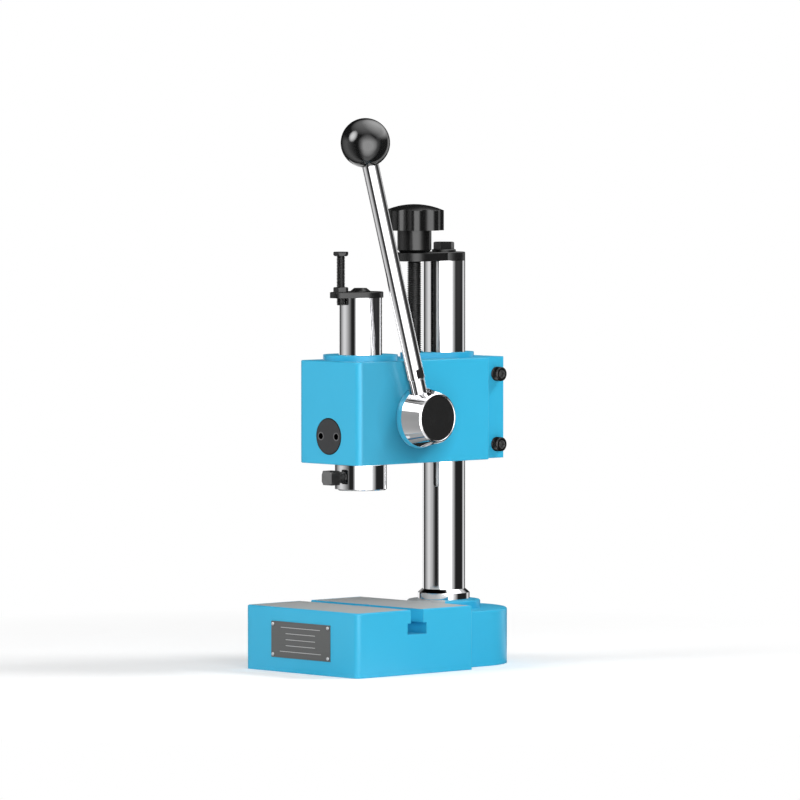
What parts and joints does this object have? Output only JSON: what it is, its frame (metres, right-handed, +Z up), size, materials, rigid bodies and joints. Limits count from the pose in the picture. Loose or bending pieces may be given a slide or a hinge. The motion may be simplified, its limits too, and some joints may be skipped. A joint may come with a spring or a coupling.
{
  "type": "lever punch press",
  "caption": "Bench hand press: a lever turns a pinion that drives a racked ram, in a head that climbs a keyed column over a T-slotted cast base with a punch hole.",
  "frame": {"origin": "on the base underside, on the axis of the table hole and of the ram above it", "axes": "+Z up along the ram; the front face with the plate looks along -Y, the column stands at +Y, the lever is on the +X side"},
  "size_m": [0.115, 0.182, 0.3835],
  "materials": {
    "blue_paint": "satin sky-blue enamel over iron castings, the table top ground bare",
    "chrome": "hard chrome plate, polished",
    "black_steel": "black oxide",
    "plain_steel": "ground steel",
    "bronze": "turned bronze",
    "black_plastic": "fine-grained black moulding",
    "gloss_black": "polished black phenolic",
    "plate_grey": "grey anodised sheet with a ruled border"
  },
  "bodies": {
    "stand": {"base_casting": "blue_paint", "name_plate": "plate_grey", "name_plate_rivets": "plain_steel", "column": "chrome", "column_collar": "chrome", "column_foot_bolt": "black_steel", "column_foot_washer": "black_steel", "top_plate": "black_steel", "top_plate_washer": "black_steel", "top_plate_bolt": "black_steel"},
    "elevating_screw": {"elevating_screw": "black_steel", "screw_retaining_ring": "black_steel", "elevating_knob": "black_plastic"},
    "head": {"head_casting": "blue_paint", "column_key": "plain_steel", "front_plug": "black_steel", "brake_spring": "plain_steel", "brake_pad": "bronze", "pinion_bush_right": "bronze", "pinion_bush_left": "bronze"},
    "lever": {"pinion_shaft": "plain_steel", "pinion_end_washer": "black_steel", "pinion_end_screw": "black_steel", "lever_hub": "chrome", "hub_key": "plain_steel", "hub_cap": "black_plastic", "lever_rod": "chrome", "ball_knob": "gloss_black"},
    "ram": {"ram": "chrome", "ram_crown_plate": "black_steel", "crown_screw": "black_steel", "stop_lock_nut": "black_steel"},
    "stop_screw": {"stop_screw": "black_steel"},
    "tool_clamp_screw": {"tool_clamp_screw": "black_steel"},
    "lower_clamp_screw": {"lower_clamp_screw": "black_steel"},
    "upper_clamp_screw": {"upper_clamp_screw": "black_steel"}
  },
  "joints": [
    {"name": "head_lift", "type": "slide", "parent": "stand", "child": "head", "axis": [0, 0, 1], "range_m": [-0.045, 0.06]},
    {"name": "elevating_screw_spin", "type": "hinge", "parent": "stand", "child": "elevating_screw", "pos_m": [0, 0.0515, 0.2891], "axis": [0, 0, -1], "range_deg": [-10801, 14401]},
    {"name": "lever_swing", "type": "hinge", "parent": "head", "child": "lever", "pos_m": [0, 0.0265, 0.1757], "axis": [1, 0, 0], "range_deg": [0, 124]},
    {"name": "ram_slide", "type": "slide", "parent": "head", "child": "ram", "axis": [0, 0, 1], "range_m": [-0.033, 0]},
    {"name": "stop_screw_travel", "type": "slide", "parent": "ram", "child": "stop_screw", "axis": [0, 0, 1], "range_m": [-0.02, 0.004]},
    {"name": "tool_clamp_screw_travel", "type": "slide", "parent": "ram", "child": "tool_clamp_screw", "axis": [0, -1, 0], "range_m": [0, 0.004]},
    {"name": "lower_clamp_screw_turn", "type": "hinge", "parent": "head", "child": "lower_clamp_screw", "pos_m": [0.02, 0.1118, 0.15345], "axis": [1, 0, 0], "range_deg": [0, 180]},
    {"name": "upper_clamp_screw_turn", "type": "hinge", "parent": "head", "child": "upper_clamp_screw", "pos_m": [0.02, 0.1118, 0.20295], "axis": [1, 0, 0], "range_deg": [0, 180]}
  ],
  "couplings": [
    {"joint": "elevating_screw_spin", "follows": "head_lift", "rad_per_m": 4188.8},
    {"joint": "ram_slide", "follows": "lever_swing", "m_per_rad": -0.015}
  ]
}
